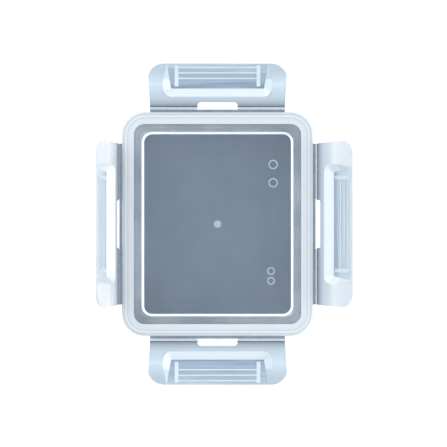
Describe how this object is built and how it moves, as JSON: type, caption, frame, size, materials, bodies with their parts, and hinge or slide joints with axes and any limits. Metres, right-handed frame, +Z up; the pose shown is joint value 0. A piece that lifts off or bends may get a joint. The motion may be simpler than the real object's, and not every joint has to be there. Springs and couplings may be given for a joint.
{
  "type": "lunch box",
  "caption": "Rectangular pressed-steel lunch box with a clear snap-lock lid, a silicone seal and locking clips on living hinges, shown open.",
  "frame": {"origin": "centre of the tray's flat base", "axes": "+Z up out of the base, +Y along the longer side, +X along the shorter side"},
  "size_m": [0.1781, 0.2252, 0.0917],
  "materials": {
    "steel": "satin pressed stainless steel",
    "clear_plastic": "clear, slightly milky polypropylene",
    "silicone": "white translucent silicone"
  },
  "bodies": {
    "box": {"tray": "steel"},
    "lid": {"lid": "clear_plastic", "seal": "silicone", "right_hinge_web_1": "clear_plastic", "right_hinge_web_2": "clear_plastic", "left_hinge_web_1": "clear_plastic", "left_hinge_web_2": "clear_plastic", "back_hinge_web_1": "clear_plastic", "back_hinge_web_2": "clear_plastic", "front_hinge_web_1": "clear_plastic", "front_hinge_web_2": "clear_plastic"},
    "right_clip": {"right_clip": "clear_plastic"},
    "left_clip": {"left_clip": "clear_plastic"},
    "back_clip": {"back_clip": "clear_plastic"},
    "front_clip": {"front_clip": "clear_plastic"}
  },
  "joints": [
    {"name": "lid_lift", "type": "slide", "parent": "box", "child": "lid", "axis": [0, 0, 1], "range_m": [0, 0.1]},
    {"name": "right_clip_hinge", "type": "hinge", "parent": "lid", "child": "right_clip", "pos_m": [0.0696, 0, 0.0631], "axis": [0, -1, 0], "range_deg": [-131.5, 58.5], "deforming": ["right_hinge_web_1", "right_hinge_web_2"]},
    {"name": "left_clip_hinge", "type": "hinge", "parent": "lid", "child": "left_clip", "pos_m": [-0.0696, 0, 0.0631], "axis": [0, 1, 0], "range_deg": [-154.5, 35.5], "deforming": ["left_hinge_web_1", "left_hinge_web_2"]},
    {"name": "back_clip_hinge", "type": "hinge", "parent": "lid", "child": "back_clip", "pos_m": [0, 0.0811, 0.0631], "axis": [1, 0, 0], "range_deg": [-94, 96], "deforming": ["back_hinge_web_1", "back_hinge_web_2"]},
    {"name": "front_clip_hinge", "type": "hinge", "parent": "lid", "child": "front_clip", "pos_m": [0, -0.0811, 0.0631], "axis": [-1, 0, 0], "range_deg": [-94, 96], "deforming": ["front_hinge_web_1", "front_hinge_web_2"]}
  ]
}
